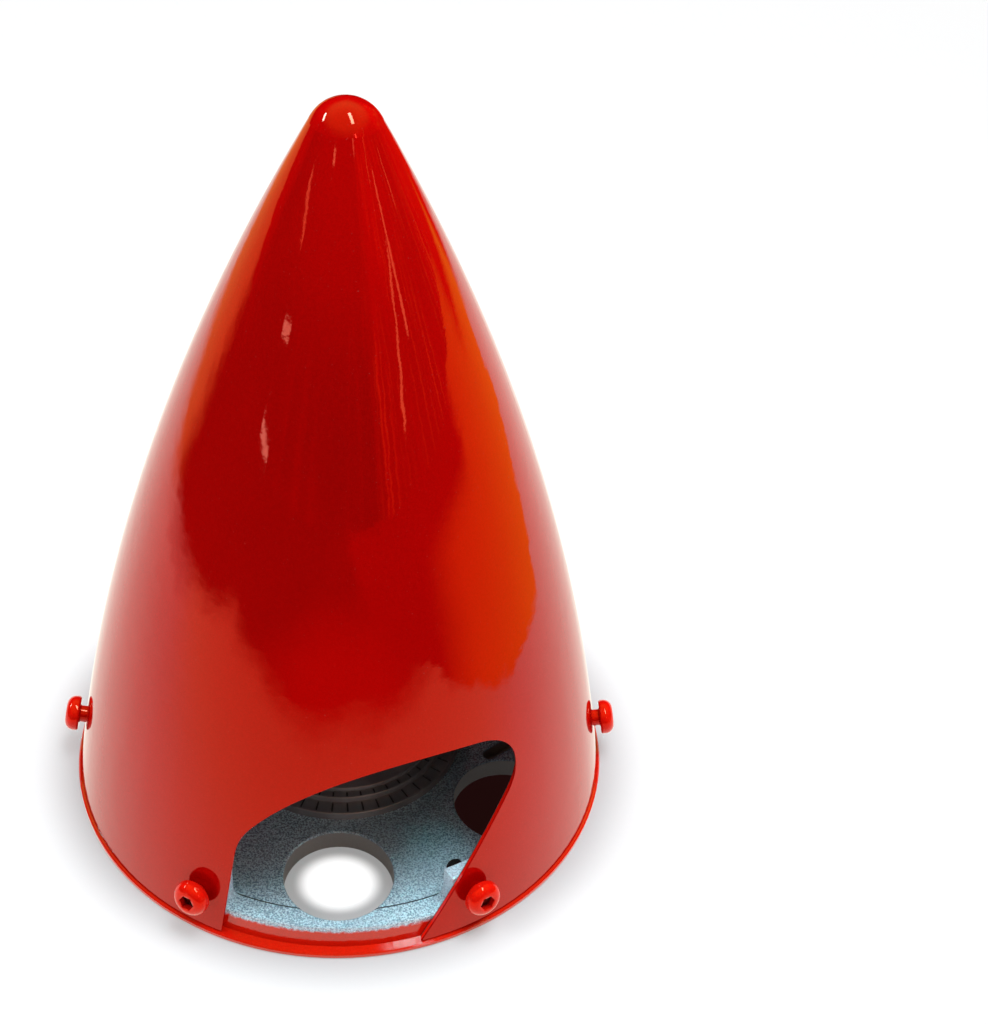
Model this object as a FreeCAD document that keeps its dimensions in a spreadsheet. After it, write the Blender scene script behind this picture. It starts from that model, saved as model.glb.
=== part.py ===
import FreeCAD, Part
import math
import os
import Sketcher
from FreeCAD import Placement, Rotation, Vector

# Propeller spinner for a two blade propeller
# Units are millimetres, +Z is forward along the propeller shaft
# The origin is on the shaft axis, in the rear face of the back plate
# The front blade opening faces -Y

os.makedirs("parts", exist_ok=True)
doc = FreeCAD.newDocument("propeller_spinner")

# Driving dimensions

SIZES = [
    ("lip_radius", 63.5, "outside of the back plate"),
    ("tip_height", 176.3, "nose of the shell above the rear face"),
    ("tip_radius", 8.0, "ball nose of the shell"),
    ("ogive_radius", 527.0, "long arc of the shell outline"),
    ("shell_wall", 1.5, "spun wall"),
    ("foot_inset", 0.75, "foot of the shell inside the lip"),
    ("foot_gap", 0.25, "between the foot of the shell and the lip"),
    ("cut_bottom", -2.0, "lower end of the blade cutter outline"),
    ("cut_left_foot", -26.15, "x where the left edge starts"),
    ("cut_left_angle", 8.4, "left edge from the vertical, degrees"),
    ("cut_left_top", 24.4, "height where the left edge starts to curve"),
    ("cut_side_radius", 16.4, "left shoulder"),
    ("cut_top_radius", 48.6, "upper edge"),
    ("cut_nose_radius", 11.1, "upper right corner"),
    ("cut_nose_x", 27.15, "centre of the upper right corner"),
    ("cut_nose_z", 38.6, "centre of the upper right corner"),
    ("cut_right_angle", 30.2, "right edge from the vertical, degrees"),
    ("cut_edge_break", 0.2, "outer edge of the blade openings"),
    ("blade_count", 2, "blade openings"),
    ("screw_count", 6, "lugs, screws and lightening holes"),
    ("screw_height", 10.65, "where the screw axis crosses the skin"),
    ("screw_hole_radius", 2.2, "clearance hole in the skin"),
    ("lip_thickness", 1.4, "lip under the shell"),
    ("spigot_clearance", 0.1, "between the spigot and the shell"),
    ("plate_thickness", 6.35, "rear face to plate top"),
    ("lug_top", 15.0, "height of the lugs"),
    ("lug_half_width", 4.9, "half of a lug across"),
    ("lug_depth", 8.1, "inner face of the lugs inside the lip"),
    ("lug_foot_fillet", 2.0, "cutter corner at the foot of a lug"),
    ("turned_relief_depth", 0.15, "groove at the foot of the turned face"),
    ("turned_relief_width", 0.35, "groove at the foot of the turned face"),
    ("plate_bore_radius", 20.0, "centre bore, hub pressed in"),
    ("rear_relief_depth", 1.0, "turned recess in the rear face"),
    ("rear_land_radius", 30.0, "inner land of the rear face"),
    ("rim_land_width", 4.8, "outer land of the rear face"),
    ("hole_radius", 12.5, "lightening hole"),
    ("hole_web", 5.8, "between a lightening hole and the edge of the lip"),
    ("slot_inset", 27.9, "inner end of the balance slot inside the lip"),
    ("slot_y", -8.3, "inner end of the balance slot"),
    ("slot_angle", 37.0, "direction of the balance slot, degrees"),
    ("slot_length", 8.5, "between the end centres of the balance slot"),
    ("slot_radius", 1.6, "round ends of the balance slot"),
    ("slot_depth", 4.0, "blind balance slot below the plate top"),
    ("edge_break", 0.3, "deburred edges"),
    ("hub_bore_radius", 7.95, "crankshaft bore of the hub"),
    ("hub_foot_radius", 29.0, "flange of the hub"),
    ("hub_foot_height", 2.05, "flange above the plate"),
    ("hub_mid_radius", 25.5, "middle step of the hub"),
    ("hub_mid_height", 3.6, "middle step above the plate"),
    ("hub_top_radius", 23.5, "upper step of the hub"),
    ("hub_top_height", 4.6, "upper step above the plate"),
    ("hub_edge_fillet", 0.3, "edges of the hub steps"),
    ("thread_radius", 2.0, "screw thread, M4"),
    ("thread_clearance", 0.05, "between the screw and the tapped hole"),
    ("screw_length", 12.0, "under the head"),
    ("screw_end_chamfer", 0.5, "end of the thread"),
    ("head_stand_off", 1.5, "head underside above the skin"),
    ("head_radius", 4.15, "button head"),
    ("head_height", 3.3, "button head"),
    ("head_crown_fillet", 2.2, "rounding of the crown"),
    ("head_under_fillet", 0.6, "rounding under the head"),
    ("socket_flats", 3.2, "hexagon across flats"),
    ("socket_depth", 2.0, "hexagon depth"),
]

sheet = doc.addObject("Spreadsheet::Sheet", "sizes")
sheet.Label = "sizes"
for row, (alias, value, note) in enumerate(SIZES, start=1):
    sheet.set("A%d" % row, note)
    sheet.set("B%d" % row, str(value))
    sheet.setAlias("B%d" % row, alias)
doc.recompute()


def size(alias):
    return float(sheet.get(alias))


# Radii that follow the lip

FOOT_R = "<<sizes>>.lip_radius - <<sizes>>.foot_inset"
LUG_R = "<<sizes>>.lip_radius - <<sizes>>.lug_depth"
RIM_R = "<<sizes>>.lip_radius - <<sizes>>.rim_land_width"
CIRCLE_R = "<<sizes>>.lip_radius - <<sizes>>.hole_web - <<sizes>>.hole_radius"
SLOT_X = "<<sizes>>.lip_radius - <<sizes>>.slot_inset"
foot_radius = size("lip_radius") - size("foot_inset")
lug_in = size("lip_radius") - size("lug_depth")
rim_land = size("lip_radius") - size("rim_land_width")
circle_radius = size("lip_radius") - size("hole_web") - size("hole_radius")
slot_x = size("lip_radius") - size("slot_inset")


# Sketch helpers

def base_plane(body, role):
    for feature in body.Origin.OriginFeatures:
        if feature.Role == role:
            return feature
    raise RuntimeError("no origin feature " + role)


def new_body(name):
    body = doc.addObject("PartDesign::Body", name)
    body.Label = name
    return body


def new_sketch(body, role, name, lift=None):
    sketch = body.newObject("Sketcher::SketchObject", name)
    sketch.Label = name
    sketch.AttachmentSupport = [(base_plane(body, role), "")]
    sketch.MapMode = "FlatFace"
    if lift:
        sketch.setExpression("AttachmentOffset.Base.z", lift)
    doc.recompute()
    return sketch


def line(sketch, start, end, construction=False):
    segment = Part.LineSegment(Vector(start[0], start[1], 0), Vector(end[0], end[1], 0))
    return sketch.addGeometry(segment, construction)


def arc(sketch, centre, start, end):
    # counter clockwise from start to end
    first = math.atan2(start[1] - centre[1], start[0] - centre[0])
    last = math.atan2(end[1] - centre[1], end[0] - centre[0])
    if last <= first:
        last += 2 * math.pi
    radius = math.hypot(start[0] - centre[0], start[1] - centre[1])
    circle = Part.Circle(Vector(centre[0], centre[1], 0), Vector(0, 0, 1), radius)
    return sketch.addGeometry(Part.ArcOfCircle(circle, first, last), False)


def fix(sketch, kind, *refs):
    return sketch.addConstraint(Sketcher.Constraint(kind, *refs))


def drive(sketch, name, expression, kind, *refs):
    value = sketch.evalExpression(expression)
    value = float(getattr(value, "Value", value))
    if kind == "Angle":
        value = math.radians(value)
    index = sketch.addConstraint(Sketcher.Constraint(kind, *refs, value))
    sketch.renameConstraint(index, name)
    if kind == "Angle":
        expression = "(" + expression + ") * 1 deg"
    sketch.setExpression("Constraints." + name, expression)
    return index


def measure(sketch, name, kind, *refs):
    index = sketch.addConstraint(Sketcher.Constraint(kind, *refs, 1.0))
    sketch.setDriving(index, False)
    sketch.renameConstraint(index, name)
    return index


def closed(sketch, *segments):
    for first, second in zip(segments, segments[1:] + segments[:1]):
        fix(sketch, "Coincident", first, 2, second, 1)


def polygon(sketch, *points):
    return [line(sketch, a, b) for a, b in zip(points, points[1:] + points[:1])]


def feature(body, kind, name, profile):
    item = body.newObject("PartDesign::" + kind, name)
    item.Label = name
    item.Profile = profile
    profile.Visibility = False
    return item


def revolve(body, name, profile):
    item = feature(body, "Revolution", name, profile)
    item.ReferenceAxis = (profile, ["V_Axis"])
    item.Angle = 360
    doc.recompute()
    return item


def around(body, name, original, count):
    pattern = body.newObject("PartDesign::PolarPattern", name)
    pattern.Label = name
    pattern.Originals = original if isinstance(original, list) else [original]
    pattern.Axis = (base_plane(body, "Z_Axis"), [""])
    pattern.Angle = 360
    pattern.setExpression("Occurrences", count)
    body.Tip = pattern
    doc.recompute()
    return pattern


def edges(item, wanted):
    names = []
    for number, edge in enumerate(item.Shape.Edges, start=1):
        box = edge.BoundBox
        if wanted(edge, box):
            names.append("Edge%d" % number)
    if not names:
        raise RuntimeError("no edge found on " + item.Label)
    return names


def dress(body, kind, name, item, names, amount):
    finish = body.newObject("PartDesign::" + kind, name)
    finish.Label = name
    finish.Base = (item, names)
    finish.setExpression("Radius" if kind == "Fillet" else "Size", amount)
    body.Tip = finish
    doc.recompute()
    return finish


def spread(edge):
    # smallest and largest distance of an edge from the shaft axis
    values = [math.hypot(p.x, p.y) for p in edge.discretize(5)]
    return min(values), max(values)


# Shell, spun and trimmed at the foot

shell = new_body("spinner_shell")
section = new_sketch(shell, "XZ_Plane", "shell_section")

# Start positions near the solution, the constraints settle them
foot = (foot_radius, size("lip_thickness") + size("foot_gap"))
nose = (0.0, size("tip_height") - size("tip_radius"))
reach = math.hypot(nose[0] - foot[0], nose[1] - foot[1])
along = ((nose[0] - foot[0]) / reach, (nose[1] - foot[1]) / reach)
ogive = size("ogive_radius")
inner = ogive - size("tip_radius")
share = (ogive ** 2 - inner ** 2 + reach ** 2) / (2 * reach)
offset = math.sqrt(ogive ** 2 - share ** 2)
centre = (
    foot[0] + along[0] * share - along[1] * offset,
    foot[1] + along[1] * share + along[0] * offset,
)
if centre[0] > 0:
    centre = (
        foot[0] + along[0] * share + along[1] * offset,
        foot[1] + along[1] * share - along[0] * offset,
    )


def from_centre(distance, through):
    span = math.hypot(through[0] - centre[0], through[1] - centre[1])
    return (
        centre[0] + (through[0] - centre[0]) * distance / span,
        centre[1] + (through[1] - centre[1]) * distance / span,
    )


wall = size("shell_wall")
joint = from_centre(ogive, nose)
joint_in = from_centre(ogive - wall, nose)
foot_in = (centre[0] + math.sqrt((ogive - wall) ** 2 - (foot[1] - centre[1]) ** 2), foot[1])
top = (0.0, size("tip_height"))
top_in = (0.0, size("tip_height") - wall)
skin = arc(section, centre, foot, joint)
tip = arc(section, nose, joint, top)
axis = line(section, top, top_in)
tip_in = arc(section, nose, joint_in, top_in)
skin_in = arc(section, centre, foot_in, joint_in)
rim = line(section, foot_in, foot)
fix(section, "Tangent", skin, 2, tip, 1)
fix(section, "Coincident", tip, 2, axis, 1)
fix(section, "Coincident", axis, 2, tip_in, 2)
fix(section, "Tangent", skin_in, 2, tip_in, 1)
fix(section, "Coincident", skin_in, 1, rim, 1)
fix(section, "Coincident", rim, 2, skin, 1)
fix(section, "PointOnObject", tip, 3, -2)
fix(section, "Coincident", tip_in, 3, tip, 3)
fix(section, "Coincident", skin_in, 3, skin, 3)
fix(section, "PointOnObject", axis, 1, -2)
fix(section, "PointOnObject", axis, 2, -2)
fix(section, "Horizontal", rim)
drive(section, "foot_z", "<<sizes>>.lip_thickness + <<sizes>>.foot_gap", "DistanceY", -1, 1, skin, 1)
drive(section, "foot_x", FOOT_R, "DistanceX", -1, 1, skin, 1)
drive(section, "top_z", "<<sizes>>.tip_height", "DistanceY", -1, 1, tip, 2)
drive(section, "skin_r", "<<sizes>>.ogive_radius", "Radius", skin)
drive(section, "tip_r", "<<sizes>>.tip_radius", "Radius", tip)
drive(section, "tip_in_r", "<<sizes>>.tip_radius - <<sizes>>.shell_wall", "Radius", tip_in)


# Heights on the skin that the plate and the screws take their radii from
def height_mark(name, curve, radius, height):
    z = section.evalExpression(height)
    z = float(getattr(z, "Value", z))
    x = centre[0] + math.sqrt(radius ** 2 - (z - centre[1]) ** 2)
    mark = section.addGeometry(Part.Point(Vector(x, z, 0)), True)
    fix(section, "PointOnObject", mark, 1, curve)
    drive(section, name + "_z", height, "DistanceY", -1, 1, mark, 1)
    measure(section, name + "_x", "DistanceX", -1, 1, mark, 1)
    return (x, z), mark


height_mark("lip", skin_in, ogive - wall, "<<sizes>>.lip_thickness")
height_mark("lug", skin_in, ogive - wall, "<<sizes>>.lug_top")
spot, spot_mark = height_mark("screw", skin, ogive, "<<sizes>>.screw_height")
normal = line(section, centre, spot, True)
fix(section, "Coincident", normal, 1, skin, 3)
fix(section, "Coincident", normal, 2, spot_mark, 1)
measure(section, "screw_tilt", "Angle", normal)
doc.recompute()
tilt = math.atan2(spot[1] - centre[1], spot[0] - centre[0])

dome = revolve(shell, "shell_dome", section)

# Blade opening, cut along Y and repeated for each blade

outline = new_sketch(shell, "XZ_Plane", "blade_outline")
left_angle = math.radians(size("cut_left_angle"))
left_foot = (size("cut_left_foot"), size("cut_bottom"))
left_rise = size("cut_left_top") - size("cut_bottom")
left_top = (left_foot[0] + left_rise * math.tan(left_angle), size("cut_left_top"))
side_centre = (
    left_top[0] + size("cut_side_radius") * math.cos(left_angle),
    left_top[1] - size("cut_side_radius") * math.sin(left_angle),
)
nose_centre = (size("cut_nose_x"), size("cut_nose_z"))
apart = math.hypot(nose_centre[0] - side_centre[0], nose_centre[1] - side_centre[1])
unit = ((nose_centre[0] - side_centre[0]) / apart, (nose_centre[1] - side_centre[1]) / apart)
to_side = size("cut_top_radius") - size("cut_side_radius")
to_nose = size("cut_top_radius") - size("cut_nose_radius")
step = (to_side ** 2 - to_nose ** 2 + apart ** 2) / (2 * apart)
aside = math.sqrt(to_side ** 2 - step ** 2)
top_centre = (
    side_centre[0] + unit[0] * step + unit[1] * aside,
    side_centre[1] + unit[1] * step - unit[0] * aside,
)


def beyond(origin, through, distance):
    span = math.hypot(through[0] - origin[0], through[1] - origin[1])
    return (
        origin[0] + (through[0] - origin[0]) * distance / span,
        origin[1] + (through[1] - origin[1]) * distance / span,
    )


right_angle = math.radians(size("cut_right_angle"))
shoulder = beyond(top_centre, side_centre, size("cut_top_radius"))
crest = beyond(top_centre, nose_centre, size("cut_top_radius"))
nose_end = (
    nose_centre[0] + size("cut_nose_radius") * math.cos(right_angle),
    nose_centre[1] - size("cut_nose_radius") * math.sin(right_angle),
)
fall = nose_end[1] - size("cut_bottom")
right_foot = (nose_end[0] - fall * math.tan(right_angle), size("cut_bottom"))
left_edge = line(outline, left_foot, left_top)
side_arc = arc(outline, side_centre, shoulder, left_top)
top_arc = arc(outline, top_centre, crest, shoulder)
nose_arc = arc(outline, nose_centre, nose_end, crest)
right_edge = line(outline, nose_end, right_foot)
bottom_edge = line(outline, right_foot, left_foot)
fix(outline, "Tangent", left_edge, 2, side_arc, 2)
fix(outline, "Tangent", side_arc, 1, top_arc, 2)
fix(outline, "Tangent", top_arc, 1, nose_arc, 2)
fix(outline, "Tangent", nose_arc, 1, right_edge, 1)
fix(outline, "Coincident", right_edge, 2, bottom_edge, 1)
fix(outline, "Coincident", bottom_edge, 2, left_edge, 1)
fix(outline, "Horizontal", bottom_edge)
drive(outline, "bottom_z", "-<<sizes>>.cut_bottom", "DistanceY", bottom_edge, 1, -1, 1)
drive(outline, "left_foot_x", "-<<sizes>>.cut_left_foot", "DistanceX", left_edge, 1, -1, 1)
drive(outline, "left_angle", "90 - <<sizes>>.cut_left_angle", "Angle", left_edge)
drive(outline, "left_top_z", "<<sizes>>.cut_left_top", "DistanceY", -1, 1, left_edge, 2)
drive(outline, "side_r", "<<sizes>>.cut_side_radius", "Radius", side_arc)
drive(outline, "top_r", "<<sizes>>.cut_top_radius", "Radius", top_arc)
drive(outline, "nose_r", "<<sizes>>.cut_nose_radius", "Radius", nose_arc)
drive(outline, "nose_x", "<<sizes>>.cut_nose_x", "DistanceX", -1, 1, nose_arc, 3)
drive(outline, "nose_z", "<<sizes>>.cut_nose_z", "DistanceY", -1, 1, nose_arc, 3)
drive(outline, "right_angle", "-90 - <<sizes>>.cut_right_angle", "Angle", right_edge)
doc.recompute()
opening = feature(shell, "Pocket", "blade_opening", outline)
opening.Type = "ThroughAll"
opening.Reversed = True
doc.recompute()
openings = around(shell, "blade_openings", opening, "<<sizes>>.blade_count")


def on_skin(edge):
    # the whole edge lies on the outer skin
    gaps = [abs(math.hypot(math.hypot(p.x, p.y) - centre[0], p.z - centre[1]) - ogive)
            for p in edge.discretize(7)]
    return max(gaps) < 0.01


cut_edges = edges(openings, lambda e, b: b.ZLength > 0.1 and b.YLength > 0.1 and on_skin(e))
smoothed = dress(shell, "Chamfer", "blade_opening_edges", openings, cut_edges,
                 "<<sizes>>.cut_edge_break")


# Hole drilled square to the skin through the screw spot

def skin_drill(body, name, radius, inward, outward):
    sketch = new_sketch(body, "XZ_Plane", name + "_section")
    ux = (math.cos(tilt), math.sin(tilt))
    vx = (-math.sin(tilt), math.cos(tilt))
    amounts = [sketch.evalExpression(e) for e in (radius, inward, outward)]
    r, low, high = [float(getattr(a, "Value", a)) for a in amounts]
    start = (spot[0] - ux[0] * low, spot[1] - ux[1] * low)
    end = (spot[0] + ux[0] * high, spot[1] + ux[1] * high)
    start_side = (start[0] + vx[0] * r, start[1] + vx[1] * r)
    end_side = (end[0] + vx[0] * r, end[1] + vx[1] * r)
    drill_axis = line(sketch, spot, end, True)
    box = polygon(sketch, start, end, end_side, start_side)
    closed(sketch, *box)
    drive(sketch, "spot_x", "<<shell_section>>.Constraints.screw_x", "DistanceX", -1, 1, drill_axis, 1)
    drive(sketch, "spot_z", "<<shell_section>>.Constraints.screw_z", "DistanceY", -1, 1, drill_axis, 1)
    index = fix_angle(sketch, drill_axis)
    drive(sketch, "outward", outward, "Distance", drill_axis)
    fix(sketch, "PointOnObject", box[0], 1, drill_axis)
    fix(sketch, "Coincident", box[0], 2, drill_axis, 2)
    drive(sketch, "inward", inward + " + " + outward, "Distance", box[0])
    fix(sketch, "Perpendicular", box[0], box[1])
    fix(sketch, "Parallel", box[0], box[2])
    fix(sketch, "Perpendicular", box[0], box[3])
    drive(sketch, "drill_r", radius, "Distance", box[1])
    doc.recompute()
    item = feature(body, "Groove", name, sketch)
    item.ReferenceAxis = (sketch, ["Axis0"])
    item.Angle = 360
    doc.recompute()
    return around(body, name + "s", item, "<<sizes>>.screw_count")


def fix_angle(sketch, segment):
    index = sketch.addConstraint(Sketcher.Constraint("Angle", segment, tilt))
    sketch.renameConstraint(index, "tilt")
    sketch.setExpression("Constraints.tilt", "<<shell_section>>.Constraints.screw_tilt")
    return index


skin_holes = skin_drill(shell, "screw_hole", "<<sizes>>.screw_hole_radius",
                        "4 mm * <<sizes>>.shell_wall", "4 mm * <<sizes>>.shell_wall")

# Back plate, turned from bar with a ring for the lugs

plate = new_body("back_plate")
turned = new_sketch(plate, "XZ_Plane", "plate_section")
grip = size("spigot_clearance")
lip_x = float(section.getDatum("lip_x").Value) - grip
lug_x = float(section.getDatum("lug_x").Value) - grip
bore = size("plate_bore_radius")
thick = size("plate_thickness")
edge_cut = size("edge_break")
relief = size("rear_relief_depth")
dip = size("turned_relief_depth")
p = polygon(
    turned,
    (bore, 0),
    (size("rear_land_radius"), 0),
    (size("rear_land_radius"), relief),
    (rim_land, relief),
    (rim_land, 0),
    (size("lip_radius"), 0),
    (size("lip_radius"), size("lip_thickness")),
    (lip_x, size("lip_thickness")),
    (lug_x, size("lug_top") - edge_cut),
    (lug_x - edge_cut, size("lug_top")),
    (lug_in + edge_cut, size("lug_top")),
    (lug_in, size("lug_top") - edge_cut),
    (lug_in, thick - dip),
    (lug_in - size("turned_relief_width"), thick - dip),
    (lug_in - size("turned_relief_width"), thick),
    (bore, thick),
)
closed(turned, *p)
for index in (0, 2, 4, 6, 9, 12, 14):
    fix(turned, "Horizontal", p[index])
for index in (1, 3, 5, 11, 13, 15):
    fix(turned, "Vertical", p[index])
fix(turned, "PointOnObject", p[0], 1, -1)
fix(turned, "PointOnObject", p[4], 1, -1)
drive(turned, "bore_r", "<<sizes>>.plate_bore_radius", "DistanceX", -1, 1, p[0], 1)
drive(turned, "land_r", "<<sizes>>.rear_land_radius", "DistanceX", -1, 1, p[0], 2)
drive(turned, "relief_z", "<<sizes>>.rear_relief_depth", "DistanceY", -1, 1, p[2], 1)
drive(turned, "rim_r", RIM_R, "DistanceX", -1, 1, p[4], 1)
drive(turned, "lip_r", "<<sizes>>.lip_radius", "DistanceX", -1, 1, p[4], 2)
drive(turned, "lip_z", "<<sizes>>.lip_thickness", "DistanceY", -1, 1, p[6], 1)
drive(turned, "spigot_low", "<<shell_section>>.Constraints.lip_x - <<sizes>>.spigot_clearance * 1 mm",
      "DistanceX", -1, 1, p[6], 2)
drive(turned, "spigot_high", "<<shell_section>>.Constraints.lug_x - <<sizes>>.spigot_clearance * 1 mm",
      "DistanceX", -1, 1, p[8], 1)
drive(turned, "lug_z", "<<sizes>>.lug_top", "DistanceY", -1, 1, p[9], 1)
drive(turned, "outer_break_x", "<<sizes>>.edge_break", "DistanceX", p[8], 2, p[8], 1)
drive(turned, "outer_break_z", "<<sizes>>.edge_break", "DistanceY", p[8], 1, p[8], 2)
drive(turned, "inner_break_x", "<<sizes>>.edge_break", "DistanceX", p[10], 2, p[10], 1)
drive(turned, "inner_break_z", "<<sizes>>.edge_break", "DistanceY", p[10], 2, p[10], 1)
drive(turned, "lug_r", LUG_R, "DistanceX", -1, 1, p[12], 1)
drive(turned, "groove_w", "<<sizes>>.turned_relief_width", "DistanceX", p[12], 2, p[12], 1)
drive(turned, "groove_z", "<<sizes>>.turned_relief_depth", "DistanceY", p[13], 1, p[13], 2)
drive(turned, "top_z", "<<sizes>>.plate_thickness", "DistanceY", -1, 1, p[14], 1)
doc.recompute()
disc = revolve(plate, "plate_disc", turned)

# The ring is milled away between the lugs

gap = new_sketch(plate, "XY_Plane", "lug_gap_outline", "<<sizes>>.plate_thickness")
period = 2 * math.pi / size("screw_count")
half = size("lug_half_width")
far = size("lip_radius") + 3


def lug_side(radius, turn, side):
    along_lug = math.sqrt(radius ** 2 - half ** 2)
    c, s = math.cos(turn), math.sin(turn)
    return (along_lug * c - side * half * s, along_lug * s + side * half * c)


a_in = lug_side(lug_in, 0, 1)
a_out = lug_side(far, 0, 1)
b_in = lug_side(lug_in, period, -1)
b_out = lug_side(far, period, -1)
ray = line(gap, (0, 0), (far * math.cos(period), far * math.sin(period)), True)
fix(gap, "Coincident", ray, 1, -1, 1)
drive(gap, "pitch", "360 / <<sizes>>.screw_count", "Angle", ray)
drive(gap, "ray_r", "<<sizes>>.lip_radius + 3", "Distance", ray)
g_in = arc(gap, (0, 0), a_in, b_in)
g_low = line(gap, a_in, a_out)
g_out = arc(gap, (0, 0), a_out, b_out)
g_high = line(gap, b_out, b_in)
fix(gap, "Coincident", g_in, 3, -1, 1)
fix(gap, "Coincident", g_out, 3, -1, 1)
fix(gap, "Coincident", g_in, 1, g_low, 1)
fix(gap, "Coincident", g_low, 2, g_out, 1)
fix(gap, "Coincident", g_out, 2, g_high, 1)
fix(gap, "Coincident", g_high, 2, g_in, 2)
fix(gap, "Horizontal", g_low)
fix(gap, "Parallel", g_high, ray)
drive(gap, "side_low", "<<sizes>>.lug_half_width", "DistanceY", -1, 1, g_low, 1)
drive(gap, "side_high", "<<sizes>>.lug_half_width", "Distance", g_high, 2, ray)
drive(gap, "inner_r", LUG_R, "Radius", g_in)
drive(gap, "outer_r", "<<sizes>>.lip_radius + 3", "Radius", g_out)
doc.recompute()
channel = feature(plate, "Pocket", "lug_gap", gap)
channel.Type = "ThroughAll"
channel.Reversed = True
doc.recompute()
channels = around(plate, "lug_gaps", channel, "<<sizes>>.screw_count")

foot_edges = edges(channels, lambda e, b: b.ZLength < 1e-4 and abs(b.ZMin - thick) < 1e-4
                   and e.Curve.TypeId == "Part::GeomLine" and spread(e)[0] > lug_in - 0.1)
lug_feet = dress(plate, "Fillet", "lug_foot_fillets", channels, foot_edges,
                 "<<sizes>>.lug_foot_fillet")

# Lightening holes between the lugs

hole_sketch = new_sketch(plate, "XY_Plane", "lightening_hole_outline")
turn = period / 2
hole_ray = line(hole_sketch, (0, 0), (circle_radius * math.cos(turn),
                                      circle_radius * math.sin(turn)), True)
ring = hole_sketch.addGeometry(
    Part.Circle(Vector(circle_radius * math.cos(turn),
                       circle_radius * math.sin(turn), 0),
                Vector(0, 0, 1), size("hole_radius")), False)
fix(hole_sketch, "Coincident", hole_ray, 1, -1, 1)
fix(hole_sketch, "Coincident", ring, 3, hole_ray, 2)
drive(hole_sketch, "turn", "180 / <<sizes>>.screw_count", "Angle", hole_ray)
drive(hole_sketch, "circle_r", CIRCLE_R, "Distance", hole_ray)
drive(hole_sketch, "hole_r", "<<sizes>>.hole_radius", "Radius", ring)
doc.recompute()
hole = feature(plate, "Pocket", "lightening_hole", hole_sketch)
hole.Type = "ThroughAll"
hole.Reversed = True
doc.recompute()
mouth_sketch = new_sketch(plate, "XY_Plane", "lightening_hole_mouth", "<<sizes>>.plate_thickness")
mouth_ray = line(mouth_sketch, (0, 0), (circle_radius * math.cos(turn),
                                        circle_radius * math.sin(turn)), True)
mouth = mouth_sketch.addGeometry(
    Part.Circle(Vector(circle_radius * math.cos(turn),
                       circle_radius * math.sin(turn), 0),
                Vector(0, 0, 1), size("hole_radius") + size("edge_break")), False)
fix(mouth_sketch, "Coincident", mouth_ray, 1, -1, 1)
fix(mouth_sketch, "Coincident", mouth, 3, mouth_ray, 2)
drive(mouth_sketch, "turn", "180 / <<sizes>>.screw_count", "Angle", mouth_ray)
drive(mouth_sketch, "circle_r", CIRCLE_R, "Distance", mouth_ray)
drive(mouth_sketch, "mouth_r", "<<sizes>>.hole_radius + <<sizes>>.edge_break", "Radius", mouth)
doc.recompute()
hole_break = feature(plate, "Pocket", "lightening_hole_break", mouth_sketch)
hole_break.setExpression("Length", "<<sizes>>.edge_break")
hole_break.TaperAngle = -45
doc.recompute()
holes = around(plate, "lightening_holes", [hole, hole_break], "<<sizes>>.screw_count")

# Balance slot, one only

slot_sketch = new_sketch(plate, "XY_Plane", "balance_slot_outline", "<<sizes>>.plate_thickness")
lean = math.radians(size("slot_angle"))
near = (slot_x, size("slot_y"))
away = (near[0] + size("slot_length") * math.cos(lean), near[1] + size("slot_length") * math.sin(lean))
nx = (-math.sin(lean) * size("slot_radius"), math.cos(lean) * size("slot_radius"))
middle = line(slot_sketch, near, away, True)
near_arc = arc(slot_sketch, near, (near[0] + nx[0], near[1] + nx[1]), (near[0] - nx[0], near[1] - nx[1]))
low_side = line(slot_sketch, (near[0] - nx[0], near[1] - nx[1]), (away[0] - nx[0], away[1] - nx[1]))
away_arc = arc(slot_sketch, away, (away[0] - nx[0], away[1] - nx[1]), (away[0] + nx[0], away[1] + nx[1]))
high_side = line(slot_sketch, (away[0] + nx[0], away[1] + nx[1]), (near[0] + nx[0], near[1] + nx[1]))
fix(slot_sketch, "Tangent", near_arc, 2, low_side, 1)
fix(slot_sketch, "Tangent", low_side, 2, away_arc, 1)
fix(slot_sketch, "Tangent", away_arc, 2, high_side, 1)
fix(slot_sketch, "Tangent", high_side, 2, near_arc, 1)
fix(slot_sketch, "Equal", near_arc, away_arc)
fix(slot_sketch, "Coincident", middle, 1, near_arc, 3)
fix(slot_sketch, "Coincident", middle, 2, away_arc, 3)
drive(slot_sketch, "near_x", SLOT_X, "DistanceX", -1, 1, middle, 1)
drive(slot_sketch, "near_y", "-<<sizes>>.slot_y", "DistanceY", middle, 1, -1, 1)
drive(slot_sketch, "lean", "<<sizes>>.slot_angle", "Angle", middle)
drive(slot_sketch, "reach", "<<sizes>>.slot_length", "Distance", middle)
drive(slot_sketch, "end_r", "<<sizes>>.slot_radius", "Radius", near_arc)
doc.recompute()
slot = feature(plate, "Pocket", "balance_slot", slot_sketch)
slot.setExpression("Length", "<<sizes>>.slot_depth")
doc.recompute()

# Tapped holes in the lugs, on the screw axes

tapped = skin_drill(plate, "tapped_hole", "<<sizes>>.thread_radius + <<sizes>>.thread_clearance",
                    "<<shell_section>>.Constraints.screw_x - (" + LUG_R + " - 2) * 1 mm",
                    "<<sizes>>.shell_wall * 1 mm")

# Deburred edges of the plate

rims = edges(tapped, lambda e, b: e.Curve.TypeId == "Part::GeomCircle" and b.ZLength < 1e-4
             and abs(e.Curve.Radius - size("lip_radius")) < 1e-4)
deburred = dress(plate, "Chamfer", "plate_edge_breaks", tapped, rims, "<<sizes>>.edge_break")

# Drive hub, pressed into the plate from the front

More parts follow.
